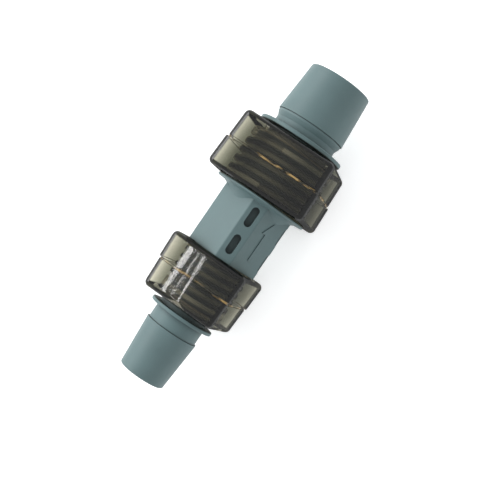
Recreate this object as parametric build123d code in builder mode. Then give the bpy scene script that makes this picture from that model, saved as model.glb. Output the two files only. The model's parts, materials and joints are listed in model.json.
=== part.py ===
"""In-line spring check valve with a union nut at each end.

The flow axis is X. Water enters at -X (small end) and leaves at +X (large end).
The origin is on the axis at the middle of the body, and +Z is up.
All sizes are in millimetres.
"""

import os
from dataclasses import dataclass
from math import cos, pi, radians, sin, sqrt

from build123d import *

# ---------------------------------------------------------------- the body
BODY_ACROSS_FLATS = 54.4
BODY_ACROSS_CORNERS = 62.8
BODY_EDGE_BLEND = 2.0
BODY_CORNER_TURN = 15.3  # a slotted corner looks this far from +Z towards -Y
BODY_SMALL_SHOULDER = -28.9
FLANGE_RADIUS = 41.8
FLANGE_BACK = 27.3
FLANGE_FRONT = 29.4
FLARE_RADIUS = 12.0

SLOT_WIDTH = 6.6
SLOT_LENGTH = 17.8
SLOT_PITCH = 26.0
SLOT_MIDDLE = -0.5
SLOT_DEPTH = 6.0
SLOT_SHIFTS = (0.0, 5.4, 0.0, 0.0)  # off the middle of each corner, so one pair breaks its edge

ARROW_LENGTH = 36.0
ARROW_WIDTH = 14.0
ARROW_HEIGHT = 0.7

# ------------------------------------------------------- bores of the body
INLET_BORE = 15.0
CHAMBER_RADIUS = 21.2
SEAT_SHOULDER = -18.0
OUTLET_STEP = 36.0
OUTLET_RADIUS = 24.0

# ------------------------------------------------------ the valve's inside
FIT = 0.05  # gap of pieces that are seated in a bore or a groove
SEATED_RADIUS = CHAMBER_RADIUS - FIT
SEAT_FACE = -10.0
SEAT_BACK = -11.2
SEAT_BORE = 12.6
SEAT_LIP_RADIUS = 14.6
SEAT_GROOVE = -15.0
SEAT_ORING_SECTION = 2.2
SLEEVE_WALL = 1.2
SEAL_THICKNESS = 2.95
SEAL_RADIUS = 15.8
HEAD_RADIUS = 16.0
HEAD_THICKNESS = 3.5
SPIGOT_RADIUS = 8.0
RETAINER_RADIUS = 11.5
RETAINER_THICKNESS = 2.6
SCREW_RADIUS = 2.0
SCREW_HEAD = 4.0
SCREW_END = 3.0
BOSS_RADIUS = 6.0
BOSS_END = 15.6
STEM_RADIUS = 3.0
STEM_END = 45.0
SPIDER_BACK = 24.0
SPIDER_FRONT = 32.0
SPIDER_RIM = 2.6
SPIDER_ARM = 3.0
HUB_RADIUS = 6.8
HUB_END = 34.0
BUSH_RADIUS = 4.6
CIRCLIP_THICKNESS = 1.6
CIRCLIP_GROOVE = 22.4
CIRCLIP_INNER = 19.4
CLIP_START = 39.5
CLIP_THICKNESS = 1.2
CLIP_NECK = 2.4
CLIP_RADIUS = 5.6
SPRING_SEAT = 10.4
SPRING_SEAT_END = 26.4
SPRING_RADIUS = 8.6
SPRING_WIRE = 0.8
SPRING_TURNS = 6
SPRING_WASHER = 0.6

# ------------------------------------------------------------ the two ends
THREAD_START = 32.0
LIP_GAP = 0.2
FLANGE_THICKNESS = 5.6
WASHER_THICKNESS = 1.2
SLEEVE_START = 101.2
SLEEVE_END = 146.0
FACE_GAP = 0.2
ORING_SECTION = 3.2
GROOVE_DEPTH = 1.0
NECK_FLARE_START = 95.0
NECK_FLARE_END = 99.0
UNDERCUT = 0.6
RIM_BLEND = 1.6
SOCKET_LEAD = 0.8
COLLAR_BLEND = 0.8


@dataclass
class End:
    """Sizes of one union end, measured outwards from the middle of the body."""

    name: str
    side: int
    face: float  # the body's end face
    pitch: float
    root: float  # radius of the male thread's root
    crest: float  # radius of the male thread's crest
    bore: float
    socket: float
    socket_depth: float
    neck: float
    neck_end: float
    sleeve: float
    sleeve_tip: float
    collar: float
    collar_start: float
    collar_thickness: float
    nut_start: float
    nut_end: float
    nut_width: float  # across flats at the body's end
    nut_width_end: float
    nut_corner: float
    nut_turn: float
    lip_bore: float
    gland: float  # mean radius of the face seal

    @property
    def plane(self):
        """Drawing plane with its local x pointing outwards along the axis."""
        return Plane(origin=(0, 0, 0), x_dir=(self.side, 0, 0), z_dir=(0, 0, 1))

    def across(self, distance):
        """Plane square to the axis, at a distance outwards from the middle."""
        return Plane((self.side * distance, 0, 0), x_dir=(0, 1, 0), z_dir=(self.side, 0, 0))


LARGE = End(
    name="large", side=1, face=70.0, pitch=8.5, root=34.0, crest=38.0,
    bore=21.5, socket=24.25, socket_depth=40.0,
    neck=28.1, neck_end=30.0, sleeve=30.95, sleeve_tip=27.95,
    collar=38.8, collar_start=85.4, collar_thickness=3.4,
    nut_start=29.8, nut_end=83.0, nut_width=91.4, nut_width_end=85.8,
    nut_corner=6.2, nut_turn=0.0, lip_bore=31.4, gland=28.6,
)
SMALL = End(
    name="small", side=-1, face=68.0, pitch=7.5, root=25.5, crest=28.8,
    bore=14.5, socket=16.8, socket_depth=36.0,
    neck=22.3, neck_end=22.3, sleeve=23.7, sleeve_tip=20.6,
    collar=28.9, collar_start=85.0, collar_thickness=3.0,
    nut_start=29.3, nut_end=80.4, nut_width=72.8, nut_width_end=67.8,
    nut_corner=5.2, nut_turn=3.0, lip_bore=24.1, gland=20.6,
)

THREAD_TURNS = 5
THREAD_SLOPE = 0.55  # width lost for each unit of thread height
THREAD_BASE_SHARE = 0.54  # width of a thread at its base, over the pitch
NUT_CLEARANCE = 0.5  # radial gap between the nut's thread and the body's
NUT_SIDE_TAPER = 1.6  # width lost by each half of a nut
NUT_GROOVE_WIDTH = 1.3
NUT_GROOVE_DEPTH = 0.6
NUT_END_BLEND = 4.5
NUT_GROOVE_BLEND = 0.5
NUT_MOUTH_DEPTH = 2.6
EMBED = 0.5  # how deep a thread starts inside the wall it grows from


def outline(points, plane=Plane.XY):
    """Closed face through (x, radius) points, in a plane holding the axis."""
    with BuildSketch(plane) as face:
        with BuildLine():
            Polyline(*points, close=True)
        make_face()
    return face.sketch


def ring(inner, outer, start, end, plane=Plane.XY):
    """Half section of a plain ring between two distances along the axis."""
    return outline([(start, inner), (end, inner), (end, outer), (start, outer)], plane)


def disc_section(radius, middle, distance, plane=Plane.XY):
    """Round section of a seal, at a distance along the axis."""
    with BuildSketch(plane) as face:
        with Locations((distance, middle)):
            Circle(radius)
    return face.sketch


def thread_turns(end, start, turns, profile):
    """Whole turns of a right-hand ridge that advances outwards, one solid a turn."""
    outwards = Vector(end.side, 0, 0)
    radius = profile[0][1]
    for turn in range(turns):
        foot = outwards * (start + turn * end.pitch)
        path = Edge.make_helix(end.pitch, end.pitch, radius, foot, outwards)
        radial = (path @ 0) - foot
        frame = Plane(foot, x_dir=outwards, z_dir=outwards.cross(radial))
        yield sweep(outline(profile, frame), path=path, is_frenet=True, mode=Mode.PRIVATE)


def thread_profile(end, base, tip):
    """Tapered profile that stands on the base radius and points to the tip radius."""
    depth = abs(tip - base)
    inside = base - EMBED if tip > base else base + EMBED
    half = THREAD_BASE_SHARE * end.pitch / 2
    foot = half + THREAD_SLOPE * EMBED / 2
    top = half - THREAD_SLOPE * depth / 2
    return [(-foot, inside), (foot, inside), (top, tip), (-top, tip)]


def barrel_blank(end, start):
    """Section of a threaded barrel with the chamfer at its open end."""
    return ring(0, end.root, start, end.face, end.plane)


def barrel_trim(end):
    """Section that squares the thread off at the barrel's end and chamfers it."""
    far = end.face + 2 * end.pitch
    reach = end.crest + 5
    lead = end.crest - end.root + 0.6
    return outline(
        [
            (end.face - lead, reach), (end.face - lead, end.crest + 0.6), (end.face, end.root),
            (end.face, 0), (far, 0), (far, reach),
        ],
        end.plane,
    )


def gland_section(end):
    """Groove for the face seal, in the body's end face."""
    half = ORING_SECTION / 2 + 0.15
    return ring(end.gland - half, end.gland + half, end.face - ORING_SECTION, end.face + 1, end.plane)


def body_profile():
    """Square with its four corners cut flat and gently blended."""
    turn = 90 + BODY_CORNER_TURN - 45
    cut = (BODY_ACROSS_FLATS * sqrt(2) - BODY_ACROSS_CORNERS) / sqrt(2)
    with BuildSketch(Plane.YZ.offset(BODY_SMALL_SHOULDER)) as face:
        Rectangle(BODY_ACROSS_FLATS, BODY_ACROSS_FLATS, rotation=turn)
        chamfer(face.vertices(), length=cut)
        fillet(face.vertices(), radius=BODY_EDGE_BLEND)
    return face.sketch


def flare_section():
    """Concave sweep from the square body up to the round flange."""
    centre = (FLANGE_BACK - FLARE_RADIUS, FLANGE_RADIUS - 3.3)
    inner = centre[1] - FLARE_RADIUS
    rim = 0.7
    with BuildSketch(Plane.XY) as face:
        with BuildLine():
            start = (centre[0], inner)
            top = (FLANGE_BACK, centre[1])
            middle = (
                centre[0] + FLARE_RADIUS * sin(pi / 4), centre[1] - FLARE_RADIUS * cos(pi / 4)
            )
            ThreePointArc(start, middle, top)
            Polyline(
                top, (FLANGE_BACK, FLANGE_RADIUS - rim), (FLANGE_BACK + rim, FLANGE_RADIUS),
                (FLANGE_FRONT - rim, FLANGE_RADIUS), (FLANGE_FRONT, FLANGE_RADIUS - rim),
                (FLANGE_FRONT, 0), (centre[0], 0), start,
            )
        make_face()
    return face.sketch


def corner_plane(index, distance):
    """Plane on a corner of the body: local x runs along the axis."""
    angle = radians(90 + BODY_CORNER_TURN + 90 * index)
    normal = Vector(0, cos(angle), sin(angle))
    return Plane(normal * distance, x_dir=(1, 0, 0), z_dir=normal)


def flat_plane(index):
    """Plane on a flat of the body: local x runs along the axis."""
    angle = radians(135 + BODY_CORNER_TURN + 90 * index)
    normal = Vector(0, cos(angle), sin(angle))
    return Plane(normal * BODY_ACROSS_FLATS / 2, x_dir=(1, 0, 0), z_dir=normal)


def slot_cut(index):
    """The two blind slots in one corner of the body."""
    top = corner_plane(index, BODY_ACROSS_CORNERS / 2)
    with BuildSketch(top) as face:
        with Locations((SLOT_MIDDLE, SLOT_SHIFTS[index])):
            with GridLocations(SLOT_PITCH, 0, 2, 1):
                SlotOverall(SLOT_LENGTH, SLOT_WIDTH)
    return extrude(face.sketch, amount=-SLOT_DEPTH, mode=Mode.PRIVATE)


def flow_arrow(index):
    """Raised arrow that shows the flow direction, on one flat of the body."""
    tail = -ARROW_LENGTH / 2
    neck = ARROW_LENGTH / 2 - ARROW_WIDTH * 0.8
    shaft = ARROW_WIDTH * 0.2
    head = ARROW_WIDTH / 2
    with BuildSketch(flat_plane(index)) as face:
        with Locations((SLOT_MIDDLE - 1.5, 0)):
            with BuildLine():
                Polyline(
                    (tail, shaft), (neck, shaft), (neck, head), (ARROW_LENGTH / 2, 0),
                    (neck, -head), (neck, -shaft), (tail, -shaft), close=True,
                )
            make_face()
    return extrude(face.sketch, amount=ARROW_HEIGHT, mode=Mode.PRIVATE)


# ------------------------------------------------------------------- body
with BuildPart() as valve_body:
    add(extrude(body_profile(), amount=FLANGE_BACK - BODY_SMALL_SHOULDER, mode=Mode.PRIVATE))
    revolve(flare_section(), axis=Axis.X)
    for corner in range(4):
        add(slot_cut(corner), mode=Mode.SUBTRACT)
    for flat in (0, 2):
        add(flow_arrow(flat))
    for end, start in ((LARGE, FLANGE_FRONT - 1), (SMALL, -BODY_SMALL_SHOULDER - 1)):
        revolve(barrel_blank(end, start), axis=Axis.X)
        for turn in thread_turns(end, THREAD_START, THREAD_TURNS, thread_profile(end, end.root, end.crest)):
            add(turn)
        revolve(barrel_trim(end), axis=Axis.X, mode=Mode.SUBTRACT)
        revolve(gland_section(end), axis=Axis.X, mode=Mode.SUBTRACT)
    revolve(ring(0, INLET_BORE, -SMALL.face, SEAT_SHOULDER + 1), axis=Axis.X, mode=Mode.SUBTRACT)
    revolve(ring(0, CHAMBER_RADIUS, SEAT_SHOULDER, OUTLET_STEP + 1), axis=Axis.X, mode=Mode.SUBTRACT)
    revolve(ring(0, OUTLET_RADIUS, OUTLET_STEP, LARGE.face), axis=Axis.X, mode=Mode.SUBTRACT)
    revolve(
        ring(
            CHAMBER_RADIUS - 1, CIRCLIP_GROOVE, SPIDER_FRONT, SPIDER_FRONT + CIRCLIP_THICKNESS + 2 * FIT
        ),
        axis=Axis.X, mode=Mode.SUBTRACT,
    )

# -------------------------------------------------- seat, cage and guide
groove_radius = SEATED_RADIUS - SEAT_ORING_SECTION - FIT
groove_half = SEAT_ORING_SECTION / 2 + 0.15

with BuildPart() as seat_ring:
    revolve(
        outline([
            (SEAT_SHOULDER, SEAT_BORE + 1), (SEAT_SHOULDER + 1, SEAT_BORE), (SEAT_FACE, SEAT_BORE),
            (SEAT_FACE, SEAT_LIP_RADIUS), (SEAT_BACK, SEAT_LIP_RADIUS + 1), (SEAT_BACK, SEATED_RADIUS),
            (SEAT_GROOVE + groove_half, SEATED_RADIUS), (SEAT_GROOVE + groove_half, groove_radius),
            (SEAT_GROOVE - groove_half, groove_radius), (SEAT_GROOVE - groove_half, SEATED_RADIUS),
            (SEAT_SHOULDER, SEATED_RADIUS),
        ]),
        axis=Axis.X,
    )

with BuildPart() as seat_oring:
    section = SEAT_ORING_SECTION / 2
    revolve(disc_section(section, SEATED_RADIUS - section, SEAT_GROOVE), axis=Axis.X)

with BuildPart() as cage_sleeve:
    revolve(ring(SEATED_RADIUS - SLEEVE_WALL, SEATED_RADIUS, SEAT_BACK, SPIDER_BACK), axis=Axis.X)

with BuildPart() as guide_spider:
    revolve(ring(SEATED_RADIUS - SPIDER_RIM, SEATED_RADIUS, SPIDER_BACK, SPIDER_FRONT), axis=Axis.X)
    revolve(ring(BUSH_RADIUS, SPRING_SEAT, SPIDER_BACK, SPRING_SEAT_END), axis=Axis.X)
    revolve(ring(BUSH_RADIUS, HUB_RADIUS, SPIDER_BACK, HUB_END), axis=Axis.X)
    reach = SEATED_RADIUS - SPIDER_RIM / 2
    with BuildSketch(Plane.YZ.offset(SPIDER_BACK)):
        with PolarLocations((reach + HUB_RADIUS - 1) / 2, 4, start_angle=BODY_CORNER_TURN):
            Rectangle(reach - HUB_RADIUS + 1, SPIDER_ARM)
    extrude(amount=SPIDER_FRONT - SPIDER_BACK)

with BuildPart() as guide_bush:
    bush = BUSH_RADIUS - FIT
    revolve(ring(STEM_RADIUS + FIT, bush, SPIDER_BACK, HUB_END + 1), axis=Axis.X)
    revolve(ring(STEM_RADIUS + FIT, HUB_RADIUS - 0.6, HUB_END, HUB_END + 1.2), axis=Axis.X)

with BuildPart() as retaining_ring:
    start = SPIDER_FRONT + FIT
    revolve(
        ring(CIRCLIP_INNER, CIRCLIP_GROOVE - FIT, start, start + CIRCLIP_THICKNESS),
        axis=Axis.X, revolution_arc=336,
    )

# ----------------------------------------------------- the moving poppet
seal_front = SEAT_FACE + FIT
head_front = seal_front + SEAL_THICKNESS
head_back = head_front + HEAD_THICKNESS
nose = seal_front - RETAINER_THICKNESS

with BuildPart() as poppet:
    revolve(
        outline([
            (seal_front, 0), (seal_front, SPIGOT_RADIUS), (head_front, SPIGOT_RADIUS),
            (head_front, HEAD_RADIUS), (head_back - 1.5, HEAD_RADIUS), (head_back, HEAD_RADIUS - 3),
            (head_back, BOSS_RADIUS), (BOSS_END - 0.8, BOSS_RADIUS), (BOSS_END, BOSS_RADIUS - 0.8),
            (BOSS_END, STEM_RADIUS), (CLIP_START, STEM_RADIUS), (CLIP_START, CLIP_NECK),
            (CLIP_START + CLIP_THICKNESS + 2 * FIT, CLIP_NECK),
            (CLIP_START + CLIP_THICKNESS + 2 * FIT, STEM_RADIUS), (STEM_END - 1, STEM_RADIUS),
            (STEM_END, STEM_RADIUS - 1), (STEM_END, 0),
        ]),
        axis=Axis.X,
    )
    revolve(ring(0, SCREW_RADIUS + FIT, seal_front, SCREW_END), axis=Axis.X, mode=Mode.SUBTRACT)

with BuildPart() as poppet_seal:
    revolve(ring(SPIGOT_RADIUS + FIT, SEAL_RADIUS, seal_front, head_front), axis=Axis.X)

with BuildPart() as seal_retainer:
    revolve(
        outline([
            (nose, SCREW_HEAD + 0.1), (nose, RETAINER_RADIUS - 2.2), (nose + 1.6, RETAINER_RADIUS),
            (seal_front, RETAINER_RADIUS), (seal_front, SCREW_RADIUS + 0.1),
        ]),
        axis=Axis.X,
    )

with BuildPart() as retainer_screw:
    revolve(
        outline([
            (nose, 0), (nose, SCREW_HEAD), (seal_front, SCREW_RADIUS), (SCREW_END - 1, SCREW_RADIUS),
            (SCREW_END - 1, 0),
        ]),
        axis=Axis.X,
    )
    with BuildSketch(Plane.YZ.offset(nose)):
        Rectangle(2 * SCREW_HEAD * 0.75, 1.0)
        Rectangle(1.0, 2 * SCREW_HEAD * 0.75)
    extrude(amount=1.0, mode=Mode.SUBTRACT)

with BuildPart() as stem_clip:
    start = CLIP_START + FIT
    revolve(
        ring(CLIP_NECK + FIT, CLIP_RADIUS, start, start + CLIP_THICKNESS),
        axis=Axis.X, revolution_arc=290,
    )

with BuildPart() as spring_washer:
    revolve(ring(BOSS_RADIUS + 0.1, SPRING_SEAT, head_back, head_back + SPRING_WASHER), axis=Axis.X)

with BuildPart() as return_spring:
    spring_start = head_back + SPRING_WASHER + SPRING_WIRE + FIT
    spring_end = SPIDER_BACK - SPRING_WIRE - FIT
    length = spring_end - spring_start
    coil = Edge.make_helix(length / SPRING_TURNS, length, SPRING_RADIUS, (spring_start, 0, 0), (1, 0, 0))
    with BuildSketch(Plane(coil @ 0, z_dir=coil % 0)):
        Circle(SPRING_WIRE)
    sweep(path=coil, is_frenet=True)


# -------------------------------------------------------- the union ends
def flange_start(end):
    """Where the connector's flange begins, just off the body's end face."""
    return end.face + FACE_GAP


def washer_start(end):
    """Where the thrust washer begins, on the back of the connector's flange."""
    return flange_start(end) + FLANGE_THICKNESS


def lip_start(end):
    """Where the nut's inward lip begins, just off the thrust washer."""
    return washer_start(end) + WASHER_THICKNESS + LIP_GAP


def connector_section(end):
    """Half section of a connector: flange, neck with the ring's groove, socket."""
    start = flange_start(end)
    ring_start = end.collar_start - FIT
    ring_end = end.collar_start + end.collar_thickness + FIT
    rim = SLEEVE_END
    stop = SLEEVE_END - end.socket_depth
    with BuildSketch(end.plane) as face:
        with BuildLine():
            Polyline(
                (start, end.bore), (start, end.root - FIT), (washer_start(end), end.root - FIT),
                (washer_start(end), end.neck), (ring_start, end.neck),
                (ring_start, end.neck - GROOVE_DEPTH), (ring_end, end.neck - GROOVE_DEPTH),
                (ring_end, end.neck), (NECK_FLARE_START, end.neck), (NECK_FLARE_END, end.neck_end),
                (SLEEVE_START - UNDERCUT, end.neck_end), (SLEEVE_START - UNDERCUT, end.neck_end - UNDERCUT),
                (SLEEVE_START, end.neck_end - UNDERCUT), (SLEEVE_START, end.sleeve),
                (rim, end.sleeve_tip), (rim, end.socket), (stop, end.socket), (stop, end.bore),
                close=True,
            )
        make_face()
        mouth = face.vertices().group_by(Axis.X)[-1].sort_by(Axis.Y)
        fillet(mouth[-1], radius=RIM_BLEND)
        chamfer(face.vertices().group_by(Axis.X)[-1].sort_by(Axis.Y)[0], length=SOCKET_LEAD)
    return face.sketch


def nut_half(end, start, stop, start_width, stop_width, start_blend, stop_blend):
    """One tapered half of a nut's rounded-square outside."""
    outwards = Axis((0, 0, 0), (end.side, 0, 0))
    with BuildPart() as half:
        for distance, width in ((start, start_width), (stop, stop_width)):
            with BuildSketch(end.across(distance)):
                RectangleRounded(width, width, end.nut_corner, rotation=end.nut_turn)
        loft()
        fillet(half.faces().sort_by(outwards)[0].edges(), radius=start_blend)
        fillet(half.faces().sort_by(outwards)[-1].edges(), radius=stop_blend)
    return half.part


def nut_blank(end):
    """Both halves of a nut's outside, joined by the core under its middle groove."""
    middle = (end.nut_start + end.nut_end) / 2
    near, far = middle - NUT_GROOVE_WIDTH / 2, middle + NUT_GROOVE_WIDTH / 2
    far_width = end.nut_width_end + NUT_SIDE_TAPER
    near_half = nut_half(
        end, end.nut_start, near, end.nut_width, end.nut_width - NUT_SIDE_TAPER,
        NUT_END_BLEND, NUT_GROOVE_BLEND,
    )
    far_half = nut_half(
        end, far, end.nut_end, far_width, end.nut_width_end, NUT_GROOVE_BLEND, NUT_END_BLEND,
    )
    core_width = far_width - 2 * NUT_GROOVE_DEPTH
    with BuildPart() as core:
        with BuildSketch(end.across(near - 1)):
            RectangleRounded(core_width, core_width, end.nut_corner, rotation=end.nut_turn)
        extrude(amount=NUT_GROOVE_WIDTH + 2)
    return [near_half, far_half, core.part]


def nut_bore(end):
    """Half section of everything that is hollow inside a nut."""
    wall = end.crest + NUT_CLEARANCE
    mouth = wall + 0.7
    return outline(
        [
            (end.nut_start - 1, 0), (end.nut_start - 1, mouth), (end.nut_start + NUT_MOUTH_DEPTH, mouth),
            (end.nut_start + NUT_MOUTH_DEPTH + 0.7, wall), (lip_start(end), wall),
            (lip_start(end), end.lip_bore), (end.nut_end + 1, end.lip_bore), (end.nut_end + 1, 0),
        ],
        end.plane,
    )


union_pieces = {}
for end in (LARGE, SMALL):
    with BuildPart() as connector:
        revolve(connector_section(end), axis=Axis.X)

    with BuildPart() as thrust_washer:
        start = washer_start(end)
        inner, outer = end.neck + 0.3, end.root - 0.3
        revolve(ring(inner, outer, start, start + WASHER_THICKNESS, end.plane), axis=Axis.X)

    with BuildPart() as stop_ring:
        stop = end.collar_start + end.collar_thickness
        inner = end.neck - GROOVE_DEPTH + FIT
        revolve(ring(inner, end.collar, end.collar_start, stop, end.plane), axis=Axis.X)
        rims = stop_ring.edges().filter_by(GeomType.CIRCLE).group_by(lambda edge: edge.radius)[-1]
        fillet(rims, radius=COLLAR_BLEND)

    with BuildPart() as face_oring:
        section = ORING_SECTION / 2 - FIT
        revolve(disc_section(section, end.gland, end.face - ORING_SECTION / 2, end.plane), axis=Axis.X)

    blank = nut_blank(end)
    with BuildPart() as union_nut:
        add(blank)
        revolve(nut_bore(end), axis=Axis.X, mode=Mode.SUBTRACT)
        wall = end.crest + NUT_CLEARANCE
        profile = thread_profile(end, wall, end.root + NUT_CLEARANCE)
        for turn in thread_turns(end, THREAD_START + end.pitch / 2, THREAD_TURNS - 1, profile):
            add(turn)

    union_pieces[f"{end.name}_end_connector"] = connector
    union_pieces[f"{end.name}_thrust_washer"] = thrust_washer
    union_pieces[f"{end.name}_stop_ring"] = stop_ring
    union_pieces[f"{end.name}_face_oring"] = face_oring
    union_pieces[f"{end.name}_union_nut"] = union_nut

core_pieces = {
    "valve_body": valve_body,
    "seat_ring": seat_ring,
    "seat_oring": seat_oring,
    "cage_sleeve": cage_sleeve,
    "guide_spider": guide_spider,
    "guide_bush": guide_bush,
    "retaining_ring": retaining_ring,
    "poppet": poppet,
    "poppet_seal": poppet_seal,
    "seal_retainer": seal_retainer,
    "retainer_screw": retainer_screw,
    "stem_clip": stem_clip,
    "spring_washer": spring_washer,
    "return_spring": return_spring,
}

os.makedirs("parts", exist_ok=True)
for name, piece in (core_pieces | union_pieces).items():
    piece.part.label = name
    export_step(piece.part, f"parts/{name}.step")
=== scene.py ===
import json
import math

import bpy
from mathutils import Matrix, Vector


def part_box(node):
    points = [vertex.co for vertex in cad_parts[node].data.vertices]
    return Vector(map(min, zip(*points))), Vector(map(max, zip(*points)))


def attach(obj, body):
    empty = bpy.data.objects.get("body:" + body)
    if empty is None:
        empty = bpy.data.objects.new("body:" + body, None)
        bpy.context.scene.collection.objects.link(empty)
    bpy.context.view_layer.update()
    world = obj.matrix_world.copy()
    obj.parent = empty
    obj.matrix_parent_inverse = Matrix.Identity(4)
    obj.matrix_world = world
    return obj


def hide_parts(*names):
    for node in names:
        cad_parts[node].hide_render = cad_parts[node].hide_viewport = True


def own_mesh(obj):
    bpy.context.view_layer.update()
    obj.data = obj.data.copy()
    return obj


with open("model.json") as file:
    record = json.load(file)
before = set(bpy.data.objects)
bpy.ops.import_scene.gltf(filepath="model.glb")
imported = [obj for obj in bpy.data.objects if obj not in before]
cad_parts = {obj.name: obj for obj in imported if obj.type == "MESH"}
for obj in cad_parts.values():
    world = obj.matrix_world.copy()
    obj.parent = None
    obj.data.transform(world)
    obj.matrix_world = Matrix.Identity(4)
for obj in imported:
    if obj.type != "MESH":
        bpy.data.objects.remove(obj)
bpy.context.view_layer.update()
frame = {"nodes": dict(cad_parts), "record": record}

NODES = frame["nodes"]

# ---------------------------------------------------------------- shader helpers


def new_tree(name):
    """An empty node material and its tree."""
    material = bpy.data.materials.new(name)
    material.use_nodes = True
    material.node_tree.nodes.clear()
    return material, material.node_tree


def add(tree, kind, inputs=None, **settings):
    """A new node: settings are its properties, and inputs are plain values or sockets to link."""
    node = tree.nodes.new(kind)
    for key, value in settings.items():
        setattr(node, key, value)
    for name, value in (inputs or {}).items():
        if isinstance(value, bpy.types.NodeSocket):
            tree.links.new(value, node.inputs[name])
        else:
            node.inputs[name].default_value = value
    return node


def maths(tree, operation, first, second=0.0, clamp=False):
    """The output of a Math node."""
    node = add(tree, "ShaderNodeMath", {0: first, 1: second}, operation=operation, use_clamp=clamp)
    return node.outputs[0]


def noise(tree, place, scale, detail=3.0, roughness=0.5, stretch=(1.0, 1.0, 1.0)):
    """Noise from 0 to 1 about a mean of 0.5, in features of about 1 / scale metres."""
    mapped = add(tree, "ShaderNodeMapping", {"Vector": place, "Scale": stretch})
    node = add(
        tree,
        "ShaderNodeTexNoise",
        {"Vector": mapped.outputs[0], "Scale": scale, "Detail": detail, "Roughness": roughness},
    )
    return node.outputs["Fac"]


def remap(tree, value, low, high, to_low=0.0, to_high=1.0):
    """value moved from low-high to to_low-to_high, and held at those ends."""
    node = add(
        tree,
        "ShaderNodeMapRange",
        {"Value": value, "From Min": low, "From Max": high, "To Min": to_low, "To Max": to_high},
    )
    return node.outputs[0]


def mix_colour(tree, factor, first, second, blend="MIX"):
    """The colour output of a Mix node."""
    node = add(tree, "ShaderNodeMix", data_type="RGBA", blend_type=blend)
    for index, value in ((0, factor), (6, first), (7, second)):
        if isinstance(value, bpy.types.NodeSocket):
            tree.links.new(value, node.inputs[index])
        else:
            node.inputs[index].default_value = value
    return node.outputs[2]


def bump(tree, height, distance, strength=1.0, normal=None):
    """A normal from a height, on top of an earlier normal if there is one."""
    inputs = {"Height": height, "Distance": distance, "Strength": strength}
    if normal is not None:
        inputs["Normal"] = normal
    return add(tree, "ShaderNodeBump", inputs).outputs[0]


def rgba(colour):
    """A linear colour with an alpha of 1."""
    return (*colour, 1.0)


def finish_material(tree, shader, volume=None):
    """Joins a shader, and what fills the inside if anything does, to the material's output."""
    output = add(tree, "ShaderNodeOutputMaterial")
    tree.links.new(shader, output.inputs["Surface"])
    if volume is not None:
        tree.links.new(volume, output.inputs["Volume"])


def worn_edges(tree, radius):
    """1 on outer edges and corners and 0 on open faces, from how a rounded normal leaves the real one."""
    rounded = add(tree, "ShaderNodeBevel", {"Radius": radius}, samples=4)
    flat = add(tree, "ShaderNodeNewGeometry")
    dot = add(
        tree,
        "ShaderNodeVectorMath",
        {0: rounded.outputs[0], 1: flat.outputs["Normal"]},
        operation="DOT_PRODUCT",
    )
    return remap(tree, dot.outputs["Value"], 0.99, 0.8)


def crevice(tree, distance, starts=0.75, ends=0.2):
    """1 deep in a corner or gap and 0 in the open; starts and ends are shares of open sky."""
    shade = add(tree, "ShaderNodeAmbientOcclusion", {"Distance": distance}, samples=6)
    return remap(tree, shade.outputs["AO"], starts, ends)


# ---------------------------------------------------------------- materials

SMOKY_TINT = (0.93, 0.9, 0.83)  # at each surface crossed
SMOKY_EDGE = (0.09, 0.09, 0.068)  # refraction colour where a rounded edge bends the light; its darkness is painted shade for the dark bands along the rounded edges
SMOKY_DEPTH = ((0.07, 0.1, 0.0), 41.0)  # colour and density of what the walls absorb, per metre
THREAD_SHADE = 0.6  # how much the bore darkens over the body's thread crests
THREAD_TINT = 0.35  # share of the tint left there
THREAD_PAINTED_LIGHT = 0.48  # how much painted light, a pale lit film, lies on the nut's own thread between the body's crests, for light its facets bend and reflect
BORE_SHARE = 0.9  # of a nut's half width: anything nearer the axis is its bore
GROOVE_HALF = 0.0009  # metres each side of the middle groove's centre
GROOVE_AMBER = (0.62, 0.42, 0.16)  # painted amber highlight along the groove
# colour of the dust, and of the film of painted light on the nut's own thread
NUT_DUST_AND_PAINTED_LIGHT = (0.3, 0.28, 0.22)
NUT_IOR = 1.5
GLOSS_IOR = 1.46
MOST_MIRROR = 0.06  # the most that the outside reflects, at a glancing view

# sizes of texture, per metre, and heights of relief, in metres
MOULD_GRAIN = 2600.0  # fine texture of a moulded face
CLOUD = 28.0  # slow drift of colour
SPECK = 900.0
MARK = 120.0
MARK_STRETCH = (1.0, 14.0, 14.0)  # handling marks run along the part
# how far the painted shade in corners and recesses reaches, in metres
PAINTED_SHADE_REACH = 0.01
EDGE_WEAR = 0.0007
WAVE = 34.0
WAVE_HEIGHT = 0.00008
NUT_CLOUD = 22.0
SCUFF = 260.0
SCUFF_HEIGHT = 0.000003
GLINT = 75.0
RUBBER_GRAIN = 3000.0
DRAWN_LINE = 1400.0


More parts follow.
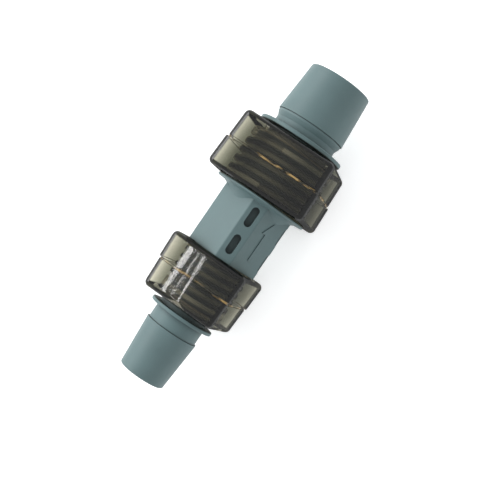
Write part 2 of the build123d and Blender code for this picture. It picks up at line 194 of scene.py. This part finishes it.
def moulded_plastic(name, colour, dust, roughness=0.5, grain=0.000016, drift=0.07):
    """Opaque moulded plastic: clouded, with painted shade darkening its corners and recesses, paler rubbed
    edges, fine grain and marks.
    """
    material, tree = new_tree(name)
    place = add(tree, "ShaderNodeTexCoord").outputs["Object"]
    clouds = noise(tree, place, CLOUD, detail=4.0)
    specks = noise(tree, place, SPECK, detail=2.0)
    darker = rgba([c * (1.0 - drift) for c in colour])
    lighter = rgba([min(1.0, c * (1.0 + drift)) for c in colour])
    base = mix_colour(tree, remap(tree, clouds, 0.3, 0.7), darker, lighter)
    base = mix_colour(tree, remap(tree, specks, 0.62, 0.8, 0.0, 0.16), base, rgba(dust))
    patchy = remap(tree, clouds, 0.3, 0.7, 0.55, 0.9)
    # painted shade: corners, slots and recesses are darkened towards near-black by ambient occlusion, in
    # patches
    painted_shade = maths(tree, "MULTIPLY", crevice(tree, PAINTED_SHADE_REACH, 0.7, 0.38), patchy)
    base = mix_colour(tree, painted_shade, base, rgba([c * 0.12 for c in dust]))
    uneven = remap(tree, specks, 0.35, 0.6, 0.1, 0.5)
    rubbed = maths(tree, "MULTIPLY", worn_edges(tree, EDGE_WEAR), uneven)
    base = mix_colour(tree, rubbed, base, rgba([min(1.0, c * 1.5 + 0.03) for c in colour]))
    marks = noise(tree, place, MARK, detail=5.0, roughness=0.7, stretch=MARK_STRETCH)
    shine = maths(tree, "ADD", remap(tree, clouds, 0.3, 0.7, -0.05, 0.05), roughness)
    shine = maths(tree, "ADD", shine, remap(tree, marks, 0.58, 0.7, 0.0, 0.14))
    normal = bump(tree, noise(tree, place, MOULD_GRAIN, detail=2.0), grain)
    normal = bump(tree, marks, grain * 2.0, 0.5, normal)
    shader = add(
        tree,
        "ShaderNodeBsdfPrincipled",
        {
            "Base Color": base, "Roughness": shine, "Normal": normal, "IOR": 1.5,
            "Specular IOR Level": 0.3,
        },
    )
    finish_material(tree, shader.outputs[0])
    return material


def edge_rounding(tree, normal):
    """1 where a face leans away from the nut's flat sides and ends, as on its rounded edges."""
    sides = add(tree, "ShaderNodeVectorMath", {0: normal}, operation="ABSOLUTE")
    parts = add(tree, "ShaderNodeSeparateXYZ", {0: sides.outputs[0]}).outputs
    squareness = maths(tree, "MAXIMUM", maths(tree, "MAXIMUM", parts["X"], parts["Y"]), parts["Z"])
    return remap(tree, squareness, 0.998, 0.965)


def thread_swell(tree, parts, pitch, phase):
    """A wave along the thread's helix: 1 on the nut's own thread, and -1 over the body's."""
    turn = maths(tree, "DIVIDE", maths(tree, "ARCTAN2", parts["Z"], parts["Y"]), math.tau)
    coil = maths(tree, "SUBTRACT", maths(tree, "DIVIDE", parts["X"], pitch), turn)
    return maths(tree, "COSINE", maths(tree, "MULTIPLY", maths(tree, "SUBTRACT", coil, phase), math.tau))


def mix_shader(tree, factor, first, second):
    """The output of a Mix Shader node."""
    return add(tree, "ShaderNodeMixShader", {0: factor, 1: first, 2: second}).outputs[0]


def smoky_plastic(name, bore_radius, groove, pitch, phase):
    """Transparent smoky plastic, for a nut whose groove lies at one distance along the axis.

    Flat faces tint what is behind them, rounded edges bend it and darken it with painted shade, and painted
    shade bands darken the bore over the body's thread crests. The outside is polished, with flow waves and
    hazed scuffs, dust in its crevices and groove, painted light on the nut's own thread, and a painted
    amber highlight along its groove.
    """
    material, tree = new_tree(name)
    coordinates = add(tree, "ShaderNodeTexCoord").outputs
    place = coordinates["Object"]
    waves = noise(tree, place, WAVE, detail=1.5, stretch=(0.3, 1.6, 1.0))
    scuffs = noise(tree, place, SCUFF, detail=6.0, roughness=0.72, stretch=(0.5, 2.0, 2.0))
    clouds = noise(tree, place, NUT_CLOUD, detail=3.0)
    drift = remap(tree, clouds, 0.3, 0.7)

    across = add(tree, "ShaderNodeVectorMath", {0: place, 1: (0.0, 1.0, 1.0)}, operation="MULTIPLY")
    radius = add(tree, "ShaderNodeVectorMath", {0: across.outputs[0]}, operation="LENGTH").outputs["Value"]
    bored = maths(tree, "LESS_THAN", radius, bore_radius)
    outside = maths(tree, "SUBTRACT", 1.0, bored)
    rounded = maths(tree, "MULTIPLY", edge_rounding(tree, coordinates["Normal"]), outside)
    parts = add(tree, "ShaderNodeSeparateXYZ", {0: place}).outputs
    swell = thread_swell(tree, parts, pitch, phase)
    crest = maths(tree, "MULTIPLY", remap(tree, swell, 0.5, -0.7, 0.0, THREAD_SHADE), bored)
    # painted light: a pale lit film on the nut's own thread in the bore
    painted_thread_light = maths(tree, "MULTIPLY", remap(tree, swell, -0.3, 0.7, 0.0, THREAD_PAINTED_LIGHT), bored)

    thin = rgba([c * 0.94 for c in SMOKY_TINT])
    thick = rgba([min(1.0, c * 1.06) for c in SMOKY_TINT])
    tint = mix_colour(tree, drift, thin, thick)
    tint = mix_colour(tree, crest, tint, rgba([c * THREAD_TINT for c in SMOKY_TINT]))
    # painted shade: rounded edges pass only a dark share of what they bend
    edge_tint = mix_colour(tree, drift, rgba([c * 0.85 for c in SMOKY_EDGE]), rgba(SMOKY_EDGE))
    hazed = remap(tree, scuffs, 0.55, 0.72, 0.0, 0.07)
    shine = maths(tree, "ADD", hazed, remap(tree, clouds, 0.3, 0.7, 0.02, 0.04))
    normal = bump(tree, waves, WAVE_HEIGHT, 0.6)
    normal = bump(tree, scuffs, SCUFF_HEIGHT, 0.6, normal)
    polish = {"Roughness": shine, "Normal": normal}

    clear = add(tree, "ShaderNodeBsdfTransparent", {"Color": tint}).outputs[0]
    bent = add(tree, "ShaderNodeBsdfRefraction", {"Color": edge_tint, "IOR": NUT_IOR, **polish}).outputs[0]
    gloss = add(tree, "ShaderNodeBsdfGlossy", {"Color": (1, 1, 1, 1), **polish}).outputs[0]
    fresnel = add(tree, "ShaderNodeFresnel", {"IOR": GLOSS_IOR, "Normal": normal}).outputs[0]
    front = maths(tree, "SUBTRACT", 1.0, add(tree, "ShaderNodeNewGeometry").outputs["Backfacing"])
    mirror = maths(tree, "MULTIPLY", maths(tree, "MINIMUM", fresnel, MOST_MIRROR), front)
    body = mix_shader(tree, mirror, mix_shader(tree, rounded, clear, bent), gloss)

    dust_and_light_film = add(tree, "ShaderNodeBsdfPrincipled", {"Base Color": rgba(NUT_DUST_AND_PAINTED_LIGHT), "Roughness": 0.85})
    dust_and_painted_light = maths(tree, "MULTIPLY", crevice(tree, 0.003), remap(tree, scuffs, 0.4, 0.7, 0.0, 0.3))
    # dust in crevices and scuffs, and the painted light on the nut's own thread, share one pale film
    dust_and_painted_light = maths(tree, "MAXIMUM", dust_and_painted_light, painted_thread_light)
    dusty = mix_shader(tree, dust_and_painted_light, body, dust_and_light_film.outputs[0])

    # painted highlight: amber spots along the middle groove, on the outside only
    away = maths(tree, "ABSOLUTE", maths(tree, "SUBTRACT", parts["X"], groove))
    caught = noise(tree, place, GLINT, detail=2.0, stretch=(4.0, 1.0, 1.0))
    glint = maths(tree, "MULTIPLY", maths(tree, "LESS_THAN", away, GROOVE_HALF), outside)
    glint = maths(tree, "MULTIPLY", glint, remap(tree, caught, 0.5, 0.66, 0.0, 0.7))
    amber = add(tree, "ShaderNodeBsdfPrincipled", {"Base Color": rgba(GROOVE_AMBER), "Roughness": 0.3})

    colour, density = SMOKY_DEPTH
    walls = add(tree, "ShaderNodeVolumeAbsorption", {"Color": rgba(colour), "Density": density})
    finish_material(tree, mix_shader(tree, glint, dusty, amber.outputs[0]), walls.outputs[0])
    return material


def rubber(name):
    """Black moulded rubber with a dusty bloom."""
    material, tree = new_tree(name)
    place = add(tree, "ShaderNodeTexCoord").outputs["Object"]
    bloom = noise(tree, place, 180.0, detail=4.0)
    fresh = (0.012, 0.012, 0.013, 1)
    bloomed = (0.045, 0.043, 0.04, 1)
    base = mix_colour(tree, remap(tree, bloom, 0.45, 0.75), fresh, bloomed)
    shine = remap(tree, bloom, 0.3, 0.7, 0.45, 0.7)
    normal = bump(tree, noise(tree, place, RUBBER_GRAIN), 0.00002)
    shader = add(
        tree, "ShaderNodeBsdfPrincipled", {"Base Color": base, "Roughness": shine, "Normal": normal}
    )
    finish_material(tree, shader.outputs[0])
    return material


def drawn_steel(name):
    """Bright drawn steel with fine lines and a slight warm stain."""
    material, tree = new_tree(name)
    place = add(tree, "ShaderNodeTexCoord").outputs["Object"]
    stain = noise(tree, place, 140.0, detail=4.0)
    lines = noise(tree, place, DRAWN_LINE, detail=4.0, stretch=(1.0, 0.08, 0.08))
    base = mix_colour(tree, remap(tree, stain, 0.45, 0.75), (0.58, 0.58, 0.57, 1), (0.42, 0.39, 0.34, 1))
    shine = maths(
        tree, "ADD", remap(tree, stain, 0.3, 0.7, 0.2, 0.34), remap(tree, lines, 0.4, 0.7, 0.0, 0.12)
    )
    normal = bump(tree, lines, 0.00001)
    shader = add(
        tree,
        "ShaderNodeBsdfPrincipled",
        {"Base Color": base, "Roughness": shine, "Normal": normal, "Metallic": 1.0},
    )
    finish_material(tree, shader.outputs[0])
    return material


MATERIALS = {
    "grey_pvc": moulded_plastic("grey_pvc_worn", (0.093, 0.142, 0.146), (0.17, 0.2, 0.195)),
    "white_pom": moulded_plastic("white_pom_moulded", (0.72, 0.72, 0.69), (0.5, 0.47, 0.4), 0.36),
    "poppet_plastic": moulded_plastic("poppet_plastic_moulded", (0.05, 0.065, 0.08), (0.16, 0.16, 0.15)),
    "bearing_plastic": moulded_plastic("bearing_plastic_smooth", (0.6, 0.55, 0.42), (0.4, 0.36, 0.28), 0.3),
    "black_rubber": rubber("black_rubber_bloomed"),
    "spring_steel": drawn_steel("spring_steel_drawn"),
}
# pitch in metres, and the share of it by which the nut's own thread stands past the frame's middle
THREADS = {"large_union_nut": (0.0085, 0.017), "small_union_nut": (0.0075, 0.481)}
for subpart in frame["record"]["subparts"]:
    node = subpart["node"]
    mesh = NODES[node].data
    mesh.materials.clear()
    if subpart["material_slot"] == "smoky_plastic":
        low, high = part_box(node)
        bore_radius = (high.y - low.y) / 2 * BORE_SHARE
        groove = (low.x + high.x) / 2
        pitch, phase = THREADS[node]
        mesh.materials.append(smoky_plastic(node + "_clear", bore_radius, groove, pitch, phase))
    else:
        mesh.materials.append(MATERIALS[subpart["material_slot"]])

# ---------------------------------------------------------------- the return spring

SPRING_WIRE = 0.0008  # radius
SPRING_TURNS = 6
RINGS_PER_TURN = 48
WIRE_SIDES = 12


def make_spring():
    """The return spring as one closed coil on the valve body, in place of the imported spring, which is
    hidden.
    """
    low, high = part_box("return_spring")
    start, end = low.x + SPRING_WIRE, high.x - SPRING_WIRE
    radius = (high.z - low.z) / 2 - SPRING_WIRE
    rings = SPRING_TURNS * RINGS_PER_TURN
    points = []
    for ring in range(rings + 1):
        angle = math.tau * ring / RINGS_PER_TURN
        outwards = Vector((0.0, math.cos(angle), math.sin(angle)))
        middle = outwards * radius + Vector((start + (end - start) * ring / rings, 0.0, 0.0))
        for side in range(WIRE_SIDES):
            around = math.tau * side / WIRE_SIDES
            points.append(
                middle + (outwards * math.cos(around) + Vector((math.sin(around), 0.0, 0.0))) * SPRING_WIRE
            )
    faces = []
    for ring in range(rings):
        for side in range(WIRE_SIDES):
            here, there = ring * WIRE_SIDES, (ring + 1) * WIRE_SIDES
            after = (side + 1) % WIRE_SIDES
            faces.append((here + side, there + side, there + after, here + after))
    faces.append(tuple(range(WIRE_SIDES)))
    faces.append(tuple(rings * WIRE_SIDES + side for side in reversed(range(WIRE_SIDES))))
    mesh = bpy.data.meshes.new("spring_coil")
    mesh.from_pydata([tuple(point) for point in points], [], faces)
    mesh.polygons.foreach_set("use_smooth", [len(face) == 4 for face in faces])
    mesh.materials.append(MATERIALS["spring_steel"])
    coil = bpy.data.objects.new("spring_coil", mesh)
    bpy.context.scene.collection.objects.link(coil)
    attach(coil, "valve_body")
    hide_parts("return_spring")
    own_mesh(coil)


make_spring()

# ---------------------------------------------------------------- studio

FLOOR_GAP = 0.0002
FLOOR_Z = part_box("large_union_nut")[0].z - FLOOR_GAP
FLOOR_HALF = 3.0
FLOOR_GLOW = 0.45  # a light table, so the paper stays white in the shade

# lights: angles in degrees from straight up towards +Y, distances and sizes in metres, power in watts
KEY_ANGLE = 58.0
KEY_DISTANCE = 2.2
KEY_SIZE = (2.4, 1.4)
KEY_POWER = 55.0
STRIPS = ((19.9, 0.008), (19.15, 0.002), (18.4, 0.004))  # angle and width
STRIP_LEAN = -6.0
STRIP_DISTANCE = 1.0
STRIP_LENGTH = 0.3
STRIP_POWER = 16.0  # for each metre of width

CAMERA_ELEVATION = 78.0
CAMERA_ROLL = 55.6
CAMERA_DISTANCE = 0.849
CAMERA_AIM = (-0.0008, -0.0091)  # right and up of the frame's middle, in the picture
SENSOR_WIDTH = 36.0
LENS = 77.1


def make_floor():
    """A plain pale floor, lit from under, that the larger nut rests on."""
    mesh = bpy.data.meshes.new("floor")
    corners = [(x * FLOOR_HALF, y * FLOOR_HALF, FLOOR_Z) for x, y in ((-1, -1), (1, -1), (1, 1), (-1, 1))]
    mesh.from_pydata(corners, [], [(0, 1, 2, 3)])
    floor = bpy.data.objects.new("floor", mesh)
    bpy.context.scene.collection.objects.link(floor)
    material, tree = new_tree("floor_paper")
    place = add(tree, "ShaderNodeTexCoord").outputs["Object"]
    fibre = noise(tree, place, 40.0, detail=4.0)
    base = mix_colour(tree, fibre, (0.9, 0.9, 0.9, 1), (0.93, 0.93, 0.93, 1))
    shader = add(
        tree,
        "ShaderNodeBsdfPrincipled",
        {
            "Base Color": base, "Roughness": 0.9,
            "Emission Color": (1, 1, 1, 1), "Emission Strength": FLOOR_GLOW,
        },
    )
    finish_material(tree, shader.outputs[0])
    mesh.materials.append(material)


def make_world(side, top):
    """Soft light from all round, dimmer overhead."""
    world = bpy.data.worlds.new("studio")
    world.use_nodes = True
    tree = world.node_tree
    tree.nodes.clear()
    direction = add(tree, "ShaderNodeTexCoord").outputs["Generated"]
    height = add(tree, "ShaderNodeSeparateXYZ", {0: direction}).outputs["Z"]
    strength = remap(tree, height, 0.55, 0.95, side, top)
    light = add(tree, "ShaderNodeBackground", {"Color": (0.97, 0.99, 1.0, 1), "Strength": strength})
    output = add(tree, "ShaderNodeOutputWorld")
    tree.links.new(light.outputs[0], output.inputs["Surface"])
    bpy.context.scene.world = world


def area_light(name, direction, distance, size, power):
    """A rectangular soft light, facing the frame's middle, with its first side as near X as it can be."""
    lamp = bpy.data.lights.new(name, "AREA")
    lamp.shape = "RECTANGLE"
    lamp.size, lamp.size_y = size
    lamp.energy = power
    light = bpy.data.objects.new(name, lamp)
    bpy.context.scene.collection.objects.link(light)
    back = direction.normalized()
    flow_axis = Vector((1.0, 0.0, 0.0))
    across = (flow_axis - flow_axis.dot(back) * back).normalized()
    turn = Matrix((across, back.cross(across), back)).transposed()
    light.matrix_world = Matrix.Translation(back * distance) @ turn.to_4x4()


def make_camera():
    """The photograph's view: nearly straight down, with the flow axis rising to the upper right."""
    elevation = math.radians(CAMERA_ELEVATION)
    roll = math.radians(CAMERA_ROLL)
    towards = Vector((0.0, -math.cos(elevation), math.sin(elevation)))
    level_right = Vector((1.0, 0.0, 0.0))
    level_up = towards.cross(level_right)
    right = math.cos(roll) * level_right - math.sin(roll) * level_up
    up = math.sin(roll) * level_right + math.cos(roll) * level_up
    aim = right * CAMERA_AIM[0] + up * CAMERA_AIM[1]
    place = towards * CAMERA_DISTANCE
    back = (place - aim).normalized()
    right = up.cross(back).normalized()
    up = back.cross(right)
    data = bpy.data.cameras.new("camera")
    data.sensor_width = SENSOR_WIDTH
    data.lens = LENS
    camera = bpy.data.objects.new("camera", data)
    bpy.context.scene.collection.objects.link(camera)
    camera.matrix_world = Matrix.Translation(place) @ Matrix((right, up, back)).transposed().to_4x4()
    bpy.context.scene.camera = camera


def towards_side(angle, lean=0.0):
    """A direction at angle degrees from straight up towards +Y, leaned by lean degrees towards +X."""
    a, b = math.radians(angle), math.radians(lean)
    return Vector((math.sin(b), math.sin(a) * math.cos(b), math.cos(a) * math.cos(b)))


make_floor()
make_world(side=0.9, top=0.8)
area_light("key", towards_side(KEY_ANGLE), KEY_DISTANCE, KEY_SIZE, KEY_POWER)
for angle, width in STRIPS:
    direction = towards_side(angle, STRIP_LEAN)
    area_light(f"strip_{width}", direction, STRIP_DISTANCE, (STRIP_LENGTH, width), STRIP_POWER * width)
make_camera()

scene = bpy.context.scene
scene.view_settings.view_transform = "Standard"
scene.cycles.use_denoising = True
